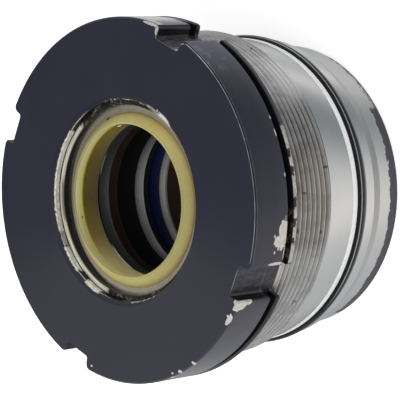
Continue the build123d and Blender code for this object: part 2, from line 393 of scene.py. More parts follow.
# %% Bore mesh
section = [(BORE_R + NOSE_CHAMFER, LENGTH, 0), (BORE_R, LENGTH - NOSE_CHAMFER, 0.2)]
for start, end, radius in BORE_GROOVES:
    section += [(BORE_R, end, 0.12), (radius, end, 0.1), (radius, start, 0.1), (BORE_R, start, 0.12)]
section += [
    (BORE_R, FIRST_LAND, 0.1), (HOUSING_R, HOUSING_END, 0.2),
    (HOUSING_R, SNAP_END, 0.1), (SNAP_R, SNAP_END, 0.05), (SNAP_R, SNAP_START, 0.05), (HOUSING_R, SNAP_START, 0.1),
    (HOUSING_R, MOUTH_CHAMFER, 0.15), (HOUSING_R + MOUTH_CHAMFER, 0, 0),
]
bore = turned("gland_bore", rounded(section))
for part in (flange, thread, shank, bore):
    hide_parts("gland_body")

# %% [markdown]
# ## Rings
#
# The seals and rings are turned sections as well. Their corners are rounder than the steel's, because rubber and
# polyurethane are moulded. Each one stands for the CAD ring of the same place, and takes its main sizes from it.

# %% Ring meshes
rings = {}


def ring_piece(node, stations, gap=0):
    """A ring from its closed section of (radius, depth, rounding), split where it has a gap in degrees."""
    piece = turned(node + "_ring", rounded(stations, closed=True), closed=True,
                   middle=180 - SLOT_ANGLE, sweep=360 - gap)
    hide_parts(node)
    rings[node] = piece


def plain_ring(node, rounding, gap_mm=0):
    """A rectangular ring with rounded corners."""
    inner, outer, front, rear = ring_size(node)
    gap = degrees(gap_mm / ((inner + outer) / 2))
    stations = [(inner, front, rounding), (outer, front, rounding), (outer, rear, rounding), (inner, rear, rounding)]
    ring_piece(node, stations, gap)


plain_ring("snap_ring", 0.45, gap_mm=9)
plain_ring("rod_seal_backup", 0.25)
plain_ring("buffer_backup", 0.3)
plain_ring("wear_ring", 0.3, gap_mm=2)
plain_ring("outer_backup_ring", 0.2)

# %% Moulded seals
# wiper: an outer case with a bevelled face, and the lip moulded into it
inner, outer, front, rear = ring_size("wiper_lip")
case_inner, case_outer, case_front, case_rear = ring_size("wiper_case")
bevel = case_front + 2.1
ring_piece("wiper_case", [
    (case_inner, case_front, 0.15), (case_outer - 0.5, bevel, 0.3), (case_outer, bevel + 0.5, 0.1),
    (case_outer, case_rear, 0.3), (case_inner, case_rear, 0.1),
])
ring_piece("wiper_lip", [
    (inner, front, 0.12), (inner + 0.6, front + 0.1, 0.25), (outer, case_front, 0.1),
    (outer, rear, 0.3), (inner + 0.6, rear, 0.4), (inner + 0.6, front + 3, 0.6),
])

# rod seal: a U section with two lips that face the pressure
inner, outer, front, rear = ring_size("rod_seal")
middle = (inner + outer) / 2
ring_piece("rod_seal", [
    (BORE_R + 0.1, front, 0.4), (outer, front, 0.4), (outer, rear - 0.4, 0.2), (outer - 0.7, rear, 0.2),
    (middle + 0.3, rear - 3.2, 0.2), (middle - 0.3, rear - 3.2, 0.2),
    (inner + 0.7, rear, 0.2), (inner, rear - 0.6, 0.2),
])

# buffer ring: a shallow notch on its pressure side
inner, outer, front, rear = ring_size("buffer_ring")
middle = (inner + outer) / 2
ring_piece("buffer_ring", [
    (inner + 0.2, front, 0.2), (outer, front, 0.3), (outer, rear, 0.3), (middle + 1.2, rear, 0.2),
    (middle, rear - 1.2, 0.3), (middle - 1.2, rear, 0.2), (inner + 0.6, rear, 0.2), (inner, rear - 0.5, 0.2),
])

# O-ring: a round section
inner, outer, front, rear = ring_size("outer_o_ring")
minor, middle_r, middle_d = (rear - front) / 2, (inner + outer) / 2, (front + rear) / 2
turns = [radians(15 * k) for k in range(24)]
stations = [(middle_r + minor * sin(a), middle_d - minor * cos(a), 0) for a in turns]
ring_piece("outer_o_ring", stations)
print("rings:", sorted(rings))

# %% [markdown]
# ## Shader sums in Python
#
# A finish is a small program: a few masks, each worked out from a point's place on the head, that choose between
# paint, bare metal and dirt. Wiring dozens of Math nodes by hand hides that program. So one small class wraps a
# node's output and lets Python's own operators add the Math nodes. Vectors go through Vector Math and colours
# through Mix, because a Math node would turn them grey. A colour is built like paint: a base, then coats laid
# over it in turn, each a mask and a colour.

# %% Wire and Finish
class Wire:
    """One output of a shader node, for use in Python sums."""

    def __init__(self, finish, socket):
        self.finish, self.socket = finish, socket

    def sum(self, operation, first, second):
        values = (first, second)
        is_vector = any(isinstance(v, Wire) and v.socket.type == "VECTOR" for v in values)
        kind = "ShaderNodeVectorMath" if is_vector else "ShaderNodeMath"
        if is_vector:
            values = [(v, v, v) if isinstance(v, (int, float)) else v for v in values]
        return self.finish.node(kind, {"operation": operation}, dict(enumerate(values)))

    def beside(self, output):
        """Another output of the same node."""
        return Wire(self.finish, self.socket.node.outputs[output])

    def __add__(self, other): return self.sum("ADD", self, other)
    def __radd__(self, other): return self.sum("ADD", other, self)
    def __sub__(self, other): return self.sum("SUBTRACT", self, other)
    def __rsub__(self, other): return self.sum("SUBTRACT", other, self)
    def __mul__(self, other): return self.sum("MULTIPLY", self, other)
    def __rmul__(self, other): return self.sum("MULTIPLY", other, self)
    def __truediv__(self, other): return self.sum("DIVIDE", self, other)
    def __rtruediv__(self, other): return self.sum("DIVIDE", other, self)


class Finish:
    """A node tree with one call that adds any node."""

    def __init__(self, tree):
        self.tree = tree
        tree.nodes.clear()

    def node(self, kind, settings=None, sockets=None, output=0):
        """Add a node: its settings first, then its sockets' values or links. Returns one of its outputs."""
        made = self.tree.nodes.new(kind)
        for key, value in (settings or {}).items():
            if key == "stops":
                set_stops(made.color_ramp, value)
            else:
                setattr(made, key, value)
        for key, value in (sockets or {}).items():
            if isinstance(value, Wire):
                self.tree.links.new(value.socket, made.inputs[key])
            else:
                made.inputs[key].default_value = value
        return Wire(self, made.outputs[output]) if len(made.outputs) else None

    def math(self, operation, *values):
        return self.node("ShaderNodeMath", {"operation": operation}, dict(enumerate(values)))

    def ease(self, value, low, high):
        """0 below low, 1 above high, and a smooth step between."""
        return self.node("ShaderNodeMapRange", {"interpolation_type": "SMOOTHSTEP"},
                         {0: value, 1: low, 2: high, 3: 0, 4: 1})

    def fade(self, value, low, high):
        """1 below low and 0 above high."""
        return 1 - self.ease(value, low, high)

    def band(self, value, low, high, soft):
        """1 between low and high, with soft edges."""
        return self.ease(value, low - soft, low + soft) * self.fade(value, high - soft, high + soft)

    def either(self, top, *others):
        """The largest of several masks."""
        for mask in others:
            top = self.math("MAXIMUM", top, mask)
        return top

    def tint(self, share, first, second, blend="MIX"):
        """Colour that goes from first at share 0 to second at share 1. Three bare numbers are 0 to 255 levels."""
        first, second = (rgb(*c) if isinstance(c, tuple) and len(c) == 3 else c for c in (first, second))
        return self.node("ShaderNodeMix", {"data_type": "RGBA", "blend_type": blend},
                         {0: share, 6: first, 7: second}, output=2)

    def layers(self, base, coats):
        """A base colour with coats laid over it in turn, each a share and a colour."""
        for share, colour in coats:
            base = self.tint(share, base, colour)
        return base


def set_stops(ramp, stops):
    """Fill a colour ramp with (position, colour) stops."""
    while len(ramp.elements) < len(stops):
        ramp.elements.new(1)
    for element, (position, colour) in zip(ramp.elements, stops):
        element.position = position
        element.color = colour


def rgb(red, green, blue):
    """Linear colour from everyday 0 to 255 values."""
    def linear(value):
        v = value / 255
        return v / 12.92 if v <= 0.04045 else ((v + 0.055) / 1.055) ** 2.4
    return (linear(red), linear(green), linear(blue), 1)


print("mid grey is", [round(x, 3) for x in rgb(128, 128, 128)])

# %% [markdown]
# ## Where a point is on the head
#
# Every mask starts from the same three readings: the depth below the flange, the distance from the axis, and the
# angle round the head. They come from the point's own place, so they stay true from every side.

# %% Places and spots
class HeadFinish(Finish):
    """A finish that knows depth, radius and angle, and can place a chip or a stain."""

    def __init__(self, name, piece):
        self.material = bpy.data.materials.new(name)
        self.material.use_nodes = True
        piece.data.materials.append(self.material)
        super().__init__(self.material.node_tree)
        self.place = self.node("ShaderNodeTexCoord", {}, {}, output=3) * (1 / MM)
        x = self.node("ShaderNodeSeparateXYZ", {}, {0: self.place})
        y, z = x.beside(1), x.beside(2)
        self.depth = LENGTH - z
        self.radius = self.math("SQRT", x * x + y * y)
        self.angle = self.math("ARCTAN2", y, x) * degrees(1) + SLOT_ANGLE
        self.around = self.node("ShaderNodeCombineXYZ", {}, {0: x / self.radius, 1: y / self.radius})
        self.ragged = (self.grain(1.1, 3, 0.6) - 0.5) * 2
        self.coarse = (self.grain(0.35) - 0.5) * 2

    def grain(self, scale, detail=2, roughness=0.5, at=None):
        """Noise from 0 to 1, by default at the point's own place."""
        return self.node("ShaderNodeTexNoise", {}, {
            "Vector": self.place if at is None else at, "Scale": scale, "Detail": detail, "Roughness": roughness})

    def turn_from(self, middle):
        """Signed angle from a middle angle, in degrees."""
        return self.math("WRAP", self.angle - middle, 180, -180)

    def spot(self, angle, depth, half_w, half_d, radius=FLANGE_R, jag=0.35, soft=0.06, axial=None):
        """Ragged patch: its middle angle and depth, and its half sizes round and along, in millimetres."""
        along = (self.depth if axial is None else axial) - depth
        u = self.turn_from(angle) * (radians(1) * radius / half_w)
        v = along / half_d
        reach = self.math("SQRT", u * u + v * v) + self.ragged * jag
        return self.fade(reach, 1 - soft, 1 + soft)

    def arc(self, middle, half, soft=0.5, wobble=0.6):
        """1 within some degrees of a middle angle, with edges that wobble a little."""
        return self.band(self.turn_from(middle) + self.ragged * wobble, -half, half, soft)

    def tone(self, stops):
        """Grey level that follows (angle, level) stops round the head."""
        greys = [((turn + 180) / 360, (level, level, level, 1)) for turn, level in stops]
        return self.node("ShaderNodeValToRGB", {"stops": greys}, {0: (self.turn_from(0) + 180) / 360})

    def shade(self, colour, tone):
        """Colour multiplied by another."""
        return self.tint(1, colour, tone, "MULTIPLY")

    def streaks(self, fineness, stretch, across=None, detail=3):
        """Fine rings left by turning, from 0 to 1: finer along the axis, or across a section, than round it."""
        fine = self.node("ShaderNodeCombineXYZ", {}, {2: (self.depth if across is None else across) * fineness})
        return self.grain(1, detail, 0.6, at=self.around * stretch + fine)

    def surface(self, colour, roughness, metal=0, height=None, **constants):
        """Close the finish with one shader. Height is in millimetres. Constants stay on the shader's sockets."""
        sockets = {"Base Color": colour, "Roughness": roughness, "Metallic": metal}
        sockets.update({name.replace("_", " "): value for name, value in constants.items()})
        if height is not None:
            sockets["Normal"] = self.node("ShaderNodeBump", {}, {"Strength": 1, "Distance": MM, "Height": height})
        shader = self.node("ShaderNodeBsdfPrincipled", {}, sockets)
        self.node("ShaderNodeOutputMaterial", {}, {"Surface": shader})
        print("finish", self.material.name, "has", len(self.tree.nodes), "nodes")

# %% [markdown]
# ## Chipped paint
#
# The flange is sprayed dark blue-grey over bare steel. The film is thin and brittle, so it has come off in ragged
# flakes wherever a spanner or a bench touched it: the slots' edges, the rear edge of the rim, the locking lip
# and the mouth of the bore. Each flake is a spot with a noisy outline, and one mask made of all of them switches
# colour, metal and gloss together. The bump map drops the chips a little below the film, so their edges catch
# the light. Round the back the flakes come from plain noise instead, few and small along the two edges.
#
# The film itself isn't one colour. It is dusty in specks and the spanner has scuffed the slots' floors. Painted
# light and shade lie on it too: its level follows the angle round the rim and it is lighter on the face's lower
# half, thin painted highlights run along its front edge and the slots' edges, painted shade darkens the upper
# slot's wall, a corner of the right slot and the lower slot, and the locking groove is near black for its black
# paint and dirt and its deep painted shade.

# %% Where the chips are
PAINT_DARK, PAINT_LIGHT = (26, 26, 39), (33, 33, 46)
BARE_BRIGHT, BARE_DULL = (226, 223, 217), (176, 170, 160)
# near black: painted shade for the chamfer's dark line, and in the locking groove black paint and dirt with its deep
# painted shade
SHADE_AND_GRIME_BLACK = (7, 7, 8)

# angle, depth, half width, half depth of each chip on the rim, in degrees and millimetres
RIM_CHIPS = [
    (-10.4, 12.1, 4, 1.1), (-12.9, 9.9, 1.5, 1.7), (-9.6, 10.7, 1.9, 1), (-14.3, 11.4, 1.4, 0.7),
    (-16.6, 12.8, 2, 0.3), (-11.2, 8.2, 0.5, 0.3), (-16.2, 8.9, 0.4, 0.3), (-15.1, 10.2, 0.5, 0.4),
    (-7.4, 11.1, 0.9, 0.6), (-19.9, 10.3, 0.5, 2.8), (-32.8, 1.2, 1.9, 2.5), (-31.9, 4.2, 1, 1.7),
    (-38.6, 0, 1.9, 0.7), (20, 12.6, 1.2, 0.3), (7, 12.7, 0.6, 0.3), (25, 12.7, 0.5, 0.3),
    (-71, 1, 0.6, 0.7), (-60, 0.5, 0.5, 0.6),
]
# angle, radius, half width, half height of each chip on the front face
FACE_CHIPS = [
    (-31.7, 50.9, 1.2, 0.9), (-39, 51.2, 1.2, 0.7), (-37.9, 50.5, 0.4, 0.5), (-66.6, 51.3, 0.6, 0.6),
    (-59.9, 51.5, 0.5, 0.4), (-69.8, 50.8, 0.4, 0.3), (72.4, 51.4, 2.9, 0.48), (69.2, 50.4, 0.5, 1.9),
    (50.5, 29.95, 2.6, 0.3), (56.3, 29.9, 0.3, 0.4),
    (239, 29.5, 1.6, 0.3), (-108, 49.8, 0.4, 0.3),
]
# angle and half width, in degrees, of the paint left on the bare lip
LIP_TEETH = [(13.6, 1.1), (8, 1.5), (-1.8, 1.7), (-7.6, 1.1), (-13.3, 0.7)]
# angle and grey level of painted light and shade on the film round the rim
RIM_LIGHT_LEVEL = [
    (-180, 0.9), (-62, 1), (-56, 1), (-46, 0.74), (-34, 0.5), (-24, 0.42), (-12, 0.3), (0, 0.14), (12, 0.15),
    (34, 0.15), (42, 0.24), (50, 0.66), (56, 1), (75, 0.95), (180, 0.9),
]
print(len(RIM_CHIPS) + len(FACE_CHIPS), "chips placed by hand")

# %% Masks of the flange
f = HeadFinish("flange_paint", flange)
on_face = f.fade(f.depth, 0.3, 0.7)
on_rim = f.ease(f.radius, 50.7, 50.9)
polished = f.either(f.spot(79, 5.5, 10, 11, jag=0.12), f.spot(86, 6.5, 11.5, 8, jag=0.5))
quarter = f.math("WRAP", f.angle - SLOT_ANGLE, 45, -45)
aside = f.math("SINE", quarter * radians(1)) * f.radius
upper_slot = f.arc(SLOT_ANGLE, 12, 0.5, 0)
right_slot = f.arc(SLOT_ANGLE - 90, 12, 0.5, 0)
low_slot = f.arc(SLOT_ANGLE + 180, 12, 0.5, 0)
rolled = f.band(aside, -5, 5.6, 0.12) * upper_slot * (1 - on_face)
polished = polished * on_rim * f.ease(f.depth, 0.8, 0.95) * (1 - rolled)
rim_chips = f.either(f.either(*[f.spot(*chip, jag=0.5) for chip in RIM_CHIPS]) * on_rim, polished)
face_chips = f.either(*[f.spot(a, r, w, h, radius=r, axial=f.radius, jag=0.5) for a, r, w, h in FACE_CHIPS])
inside_groove = f.band(f.depth, 12.95, LIP_START + 0.06, 0.03) * f.band(f.radius, 47.9, 51.35, 0.06)
lip = f.ease(f.depth, LIP_START + 0.02, LIP_START + 0.1)
teeth = f.either(*[f.arc(angle, half, 0.35, 2.6) for angle, half in LIP_TEETH])
teeth = teeth * f.fade(f.depth + f.ragged * 0.8 + f.coarse * 0.6, 16.45, 16.6)
bare_lip = lip * f.arc(1, 21) * (1 - teeth)
behind = f.arc(180, 84, 6) * f.ease(f.grain(0.42, 3, 0.6), 0.66, 0.68)
behind = behind * f.either(f.ease(f.depth, 11, 12.4), f.band(f.depth, 0.6, 1.5, 0.2)) * on_rim
chips = f.either(rim_chips, behind, face_chips * on_face) * (1 - lip) * (1 - inside_groove)
bare = f.either(chips, bare_lip)
print("masks take", len(f.tree.nodes), "nodes")

# %% The film
# cloudy and dusty and darker on the lip round -50 degrees, with painted light: lighter on the face's lower half
# and low on the rim, a level of light round the rim that is paler where it turns to the light, and painted
# highlights in lines on the lip
cloud = f.grain(0.08, 3)
dust = f.ease(f.grain(2.6, 2, 0.7), 0.66, 0.8) * 0.5
film = f.tint(cloud, PAINT_DARK, PAINT_LIGHT)
rim = on_rim * (1 - on_face)
rim_paint_lit = f.tint(f.ease(f.turn_from(-3), -8, 7), (76, 76, 82), (71, 71, 93))
wisps = f.ease(f.grain(0.3, 3, 0.6), 0.5, 0.68) * f.arc(51, 7, 3) * f.fade(f.depth, 8, 11)
# painted highlights: a lighter band with a light line across the lip's paint round 38 degrees
lip_highlight_lines = f.band(f.depth + f.coarse * 0.1, 15.85, 16.1, 0.1) * 0.5 + 0.15
film = f.layers(film, [
    # painted light: the face's lower half, the rim's level of light and the rim's lower part
    (f.arc(-88, 66, 24, 0) * on_face * 0.5, (54, 55, 58)),
    (rim, f.tint(f.tone(RIM_LIGHT_LEVEL), (14, 14, 33), rim_paint_lit)),
    (rim * f.arc(-88, 25, 9) * 0.75, (112, 112, 114)),
    (lip * f.arc(-50, 24, 2) * 0.9, (20, 20, 22)),
    (wisps * rim * 0.5, (106, 106, 120)),
    (lip * 0.8, (36, 36, 40)),
    (lip * f.arc(38, 22, 4) * lip_highlight_lines, (92, 92, 96)),
    (dust * 0.35, (92, 92, 98)),
])

# painted highlights: thin light lines along the front edge
front_edge_highlight = f.either(f.band(f.radius, 51.33, 51.45, 0.03) * on_face,
                       f.band(f.depth + f.coarse * 0.05, 0.74, 0.86, 0.04) * on_rim * 0.5)
front_edge_highlight = front_edge_highlight * (0.36 + f.arc(53, 12, 8) * 0.5) * f.ease(f.either(aside, aside * -1), 6.4, 7)
front_edge_highlight = front_edge_highlight * (0.6 + f.ease(f.grain(0.3), 0.34, 0.55) * 0.4)
# painted shade: a dark line along the rim's front chamfer
chamfer_shade_line = f.band(f.depth, 0.36, 0.6, 0.05) * on_rim * f.arc(19, 38)
film = f.tint(chamfer_shade_line * 0.6, film, SHADE_AND_GRIME_BLACK)
# painted highlights along the slots' front edges
slot_edge_highlight = f.band(f.depth, 0.03, 0.22, 0.03) * f.fade(f.radius, 51, 51.2)
slot_edge_highlight = slot_edge_highlight * f.either(f.arc(22, 52, 2), f.arc(244.5, 4.5))
slot_edge_highlight = slot_edge_highlight * (1 - f.ease(aside, 2.6, 3.4) * right_slot)
film = f.tint(f.either(front_edge_highlight * f.arc(19, 38), slot_edge_highlight * 0.42), film, (200, 200, 206))
print("the film takes it to", len(f.tree.nodes))

# %% The slots
# scuffed floors; painted shade makes the upper slot's glossy wall nearly black and darkens a corner of the right
# slot and the lower slot, and painted highlights mark a bend and a step in the right slot's floor
in_slot = f.band(aside, -5, 4.95, 0.04) * f.fade(f.radius, 51.2, 51.4) * (1 - on_face)
in_slot = f.either(in_slot, rolled * f.ease(aside, 4.7, 4.9))
wall = f.ease(aside, 4.3, 4.6) * upper_slot
scuffs = f.grain(1.2, 3, 0.6, at=f.place * (1.2, 1.2, 0.3))
floor_scuffs = f.tint(f.ease(scuffs, 0.4, 0.65), (40, 40, 50), (92, 92, 98))
# painted shade in the right slot's lower corner
low_corner_shade = f.fade(aside + f.ragged * 1.6 + scuffs * 3, -1.7, -0.9) * in_slot * right_slot
# painted highlights: the floor's bend by its wall and a faint step across the floor
bend_highlight = f.band(aside, -4.7, -4.45, 0.06) * f.fade(f.radius, 48.3, 48.6) * in_slot * right_slot
step = f.band(f.depth + f.coarse * 0.1, 11.7, 12, 0.08) * in_slot * right_slot
rubbed_and_highlight = f.fade(aside + f.ragged * 1.4, -3.6, -1.2) * in_slot * upper_slot
film = f.layers(film, [
    (in_slot * (1 - wall) * (0.3 + upper_slot * 0.4), floor_scuffs),
    (in_slot * wall * 0.85, f.tint(f.ease(scuffs, 0.55, 0.75), (9, 9, 11), (58, 56, 58))),
    (low_corner_shade * 0.8, (12, 12, 14)),
    (bend_highlight * 0.22, (128, 128, 132)),
    (in_slot * low_slot * 0.8, (9, 9, 10)),
    (step * 0.2, (150, 150, 152)),
    (rubbed_and_highlight * 0.8, f.tint(f.ease(scuffs, 0.4, 0.6), (66, 66, 74), (214, 214, 220))),
])
print("the slots take it to", len(f.tree.nodes))

# %% Bare metal, the black groove and gloss
metal = f.tint(f.grain(0.9, 3), BARE_DULL, BARE_BRIGHT)
smooth = f.tint(f.ease(f.turn_from(73.5) + f.ragged, -3.5, 4.5), (130, 131, 136), (220, 219, 218))
metal = f.tint(polished * f.ease(f.depth + f.ragged * 0.8, 1.6, 4), metal, smooth)
metal = f.tint(lip * 0.7, metal, f.tint(f.ease(f.ragged, -0.4, 0.5), (132, 128, 122), (206, 203, 197)))
colour = f.tint(bare, film, metal)
lump = f.arc(-11, 8) * f.ease(f.grain(0.8), 0.48, 0.6)
# the locking groove: black paint and dirt with painted deep shade, and brown lumps of dirt
colour = f.tint(inside_groove, colour, f.tint(lump, SHADE_AND_GRIME_BLACK, (66, 56, 44)))
peel = f.grain(0.55) * 0.012
height = (1 - bare) * 0.06 + peel + bare * f.ragged * 0.02
rough = 0.42 + dust * 0.2 + bare * 0.1 + inside_groove * 0.4 - in_slot * wall * 0.18
f.surface(colour, rough, metal=bare * 0.5, height=height, Specular_IOR_Level=0.35)

# %% [markdown]
# ## Dirty thread
#
# Handling has polished the crests of the thread, and its roots hold old oil and dirt. So the distance from the
# axis drives the colour: light on the crest, dark in the root, and that dark is dirt and painted shade at once.
# How dark is a matter of where: a list of stops gives the share of grime and painted shade round the thread,
# and a few rust spots and nicks are listed. A painted highlight lies on the deeper turns round 45 degrees, and
# painted shade and a painted highlight lie on the first turns beside the right slot.

# %% Thread steel
# angle and share of grime and painted shade round the thread
THREAD_GRIME_AND_SHADE = [
    (-180, 0.6), (-60, 0.62), (-40, 0.58), (-24, 0.62), (-17, 0.85), (-4, 0.75), (10, 0.85), (20, 1), (30, 0.95),
    (36, 0.4), (43, 0.1), (50, 0.12), (60, 0.5), (72, 0.85), (90, 0.5), (180, 0.4),
]

f = HeadFinish("thread_steel", thread)
low = f.arc(-70, 42, 10)
crest = f.ease(f.radius, low * 0.5 + (ROOT_R + 0.25), low * 0.22 + (CREST_R - 0.3))
stain = f.arc(-1, 15, 5, 4)
wear = f.streaks(9, 6)
grime_and_shade = f.tone(THREAD_GRIME_AND_SHADE)
grime_and_shade = grime_and_shade * (0.75 + f.grain(0.16, 3) * 0.5)
steel = f.tint(wear, (222, 222, 221), (252, 251, 247))
# the root's dark is dirt and painted shade
root = f.tint(grime_and_shade, (190, 190, 190), (58, 58, 58))
root = f.tint(stain * 0.5, root, (98, 82, 58))
smear = f.ease(f.grain(0.22, 3, 0.6, at=f.place * (1, 1, 0.5)), 0.42, 0.66)
# painted highlight on the deeper turns round 45 degrees
glow = f.arc(45, 8, 6) * f.ease(f.depth, 26, 32)
steel = f.tint(smear * (0.25 + grime_and_shade * 0.3) * (1 - glow), steel, (150, 149, 146))
colour = f.tint(crest, root, f.tint(grime_and_shade * 0.5, steel, (104, 102, 98)))
# painted shade on the turns beside the right slot, and on the run-out behind the lip a painted highlight with painted
# shade right behind the lip
hollow_shade = f.arc(-35, 4, 3, 2) * f.fade(f.depth, 20, 24)
run_out = f.arc(-25.5, 6.5, 1)
rust = f.either(f.spot(0.6, 24.6, 0.4, 1, radius=CREST_R), f.spot(2.5, 23, 1.8, 0.4, radius=CREST_R) * 0.4)
marks = f.either(*[f.spot(*mark, radius=CREST_R) for mark in (
    (8.7, 34.9, 0.4, 0.5), (-12, 22.6, 0.8, 0.5), (61, 32.2, 0.5, 0.5), (-41, 30.7, 0.45, 0.4),
    (-47, 28.5, 0.5, 0.4), (-40, 31.6, 0.3, 1.2), (-13.4, 32.6, 0.7, 0.4))])
colour = f.layers(colour, [
    (glow * 0.75, (253, 253, 253)),
    (hollow_shade * 0.5, (66, 64, 60)),
    (run_out * f.band(f.depth, 17.9, 19.4, 0.2) * 0.7, (238, 233, 222)),
    (run_out * f.fade(f.depth, 17.5, 17.9) * 0.7, (56, 56, 60)),
    (stain * 0.22, (150, 138, 112)),
    (rust * 0.75, (112, 90, 46)),
    (marks * 0.7, (64, 52, 36)),
])
height = f.ragged * 0.02 + wear * 0.02
f.surface(colour, 0.5 - crest * 0.16 + wear * 0.08, metal=0.3 + crest * 0.6, height=height)

# %% [markdown]
# ## Ground and turned steel
#
# The pilot and the land beside the seal are ground, so they mirror their surroundings in long soft bands. The
# taper and the nose are only turned, with marks coarse enough to break up a reflection, so the taper's painted
# light and shade is a level given round the head. The nose also keeps a dark border of paint at its end. Its
# ragged edge is a plain step in depth with two sizes of noise added before the step.

# %% Shank steel
# angle and level of painted light and shade on the taper round the head
TURNED_LIGHT_LEVEL = [
    (-180, 0.5), (-62, 0.5), (-45, 0.62), (-30, 0.68), (-15, 0.6), (0, 0.48), (15, 0.42), (28, 0.38), (40, 0.6),
    (50, 0.68), (62, 0.5), (180, 0.5),
]

f = HeadFinish("shank_steel", shank)
fine = f.streaks(14, 5)
taper = f.band(f.depth, LAND_END, TAPER_END, 0.15)
nose = f.ease(f.depth, TAPER_END - 0.1, TAPER_END + 0.1)
groove = f.band(f.depth, GROOVE_START, GROOVE_END, 0.05) * f.fade(f.radius, PILOT_R - 0.6, PILOT_R - 0.3)
steel = f.tint(fine, (195, 196, 196), (213, 213, 212))
marks = f.either(f.spot(-33, 60.8, 0.5, 0.3), f.spot(-36, 46.2, 0.3, 0.7))
steel = f.layers(steel, [
    # painted light and shade on the taper, by its level round the head
    (taper, f.shade(f.tint(fine, (244, 244, 243), (255, 255, 253)), f.tone(TURNED_LIGHT_LEVEL))),
    (groove * 0.9, (30, 30, 31)),
    (marks * 0.35, (110, 104, 94)),
])
edge = f.depth + f.ragged * 0.9 + f.coarse * 1.1
border = f.ease(edge, 67.3, 67.75) * f.arc(-16, 48, 0.6, 3)
dashes = f.ease(f.depth + f.ragged * 2.6, 69.5, 69.9) * f.arc(46, 18, 2, 2) * 0.8
border = f.either(border, dashes)
colour = f.tint(border, steel, f.tint(f.grain(0.7, 3), (52, 51, 58), (78, 76, 82)))
rough = 0.2 + fine * 0.08 + taper * 0.16 + nose * 0.1 + border * 0.2
height = fine * 0.004 * (1 + nose * 3) + border * 0.03
f.surface(colour, rough, metal=1 - border * 0.85, height=height)

# %% [markdown]
# ## Inside the bore
#
# Overspray reaches a few millimetres down the mouth and has flaked where the wiper was pressed in. The bare
# stretches are listed by angle, and a thin broken line follows the edge of the face. Below, the steel is turned
# and dark with oil, and the first land, under the wiper, is darker still.

# %% Bore steel
# angle, half width, first depth and strength of the bare stretches of the mouth's wall; the strengths also
# carry painted light and shade round the wall
MOUTH_FLAKES = [
    (150, 14.5, 0.85, 0.72), (181, 17, 0.9, 0.84), (189, 4, 0.9, 0.95), (202, 5, 1, 0.4),
    (216.5, 8.5, 0.8, 1), (239.5, 6, 0.6, 1), (266, 2.5, 2, 0.35), (281, 8, 1, 0.4),
    (110, 3, 2.2, 0.3), (94, 5, 2, 0.25),
]

f = HeadFinish("bore_steel", bore)
fine = f.streaks(10, 5)
painted = f.fade(f.depth + f.ragged * 0.6, 6.2, 6.6)
flakes = f.either(*[f.arc(angle, half, 0.6, 2.4) * f.ease(f.depth + f.ragged * 0.3, top, top + 0.2) * strength
                    for angle, half, top, strength in MOUTH_FLAKES])
flakes = flakes * f.fade(f.depth + f.ragged * 0.1, 2.5, 2.72)
chamfer = f.fade(f.depth, 1.15, 1.35)
edge_line = f.band(f.depth + f.ragged * 0.16, 1.08, 1.3, 0.06) * f.arc(186, 66, 6, 5) * 0.35
flecks = f.ease(f.grain(0.9, 3, 0.7), 0.5, 0.6) * f.band(f.depth, 0.9, 1.7, 0.1)
edge_line = f.either(edge_line, flecks * f.either(f.arc(84, 14, 6), f.arc(282, 12, 5)) * 0.55)
# the paint on the mouth's wall is near black as painted shade, and lighter on the chamfer's lower part as painted light
film = f.tint(chamfer, (13, 12, 13), (29, 29, 41))
film = f.tint(f.arc(-118, 66, 26, 0) * chamfer * 0.6, film, (50, 50, 58))
mouth_chip = f.either(*[f.spot(a, d, w, h, radius=29) for a, d, w, h in ((50, 0.9, 2.5, 1), (55, 1.5, 1.2, 1))])
mouth_chip = f.either(mouth_chip, f.spot(61, 0.9, 2.8, 0.9, radius=29) * 0.3)
steel = f.tint(fine * 0.6 + f.grain(0.7, 4, 0.7) * 0.4, (104, 104, 106), (176, 175, 174))
first_land = f.band(f.depth, 13.2, 17.1, 0.05)
steel = f.tint(first_land * 0.75, steel, (58, 56, 62))
glint = f.band(f.depth, 12.84, 13.34, 0.05) * f.either(f.arc(230, 12, 4), f.arc(154, 8, 4) * 0.3)
steel = f.tint(glint, steel, (255, 255, 250))
bright = f.tint(f.ease(f.grain(0.9, 3, 0.6, at=f.place * (1, 1, 2.2)), 0.3, 0.7), (190, 185, 174),
                (250, 249, 244))
bare = f.either(flakes, edge_line, mouth_chip)
colour = f.tint(painted, steel, f.tint(bare, film, bright))
metal = (1 - painted) * 0.85 * (1 - glint) + painted * flakes * 0.4
f.surface(colour, 0.4 + fine * 0.1, metal=metal, height=fine * 0.01 - painted * flakes * 0.05,
          Specular_IOR_Level=0.3)

# %% [markdown]
# ## Rubber, nylon and polyurethane
#
# Polyurethane is slightly waxy and lets a little light in. Nylon is dull with turning lines, rubber is nearly
# black with a soft sheen, and the white ring is smooth. Only the snap ring and the wiper's case are metal. One
# function makes the plain rings and the case, and gives the case and the white ring levels of painted light and
# shade round the head. The wiper's lip, the snap ring, the guide ring and the O-ring have marks of their own: an
# oily inside and painted light and shade on the lip, a pale line on the guide ring, a bright painted highlight
# along the snap ring's corner and a grey painted highlight along the O-ring.

# %% Rings with one finish
# angle and level of painted light and shade on the wiper's case and on the white ring round the head
CASE_LIGHT_LEVEL = [(-180, 0.52), (-135, 0.8), (-90, 1), (-20, 0.75), (50, 0.64), (90, 0.85), (135, 0.74), (180, 0.52)]
WHITE_LIGHT_LEVEL = [(-180, 0.9), (-60, 0.72), (-40, 0.74), (-20, 0.84), (0, 0.9), (22, 0.97), (40, 1), (180, 0.95)]


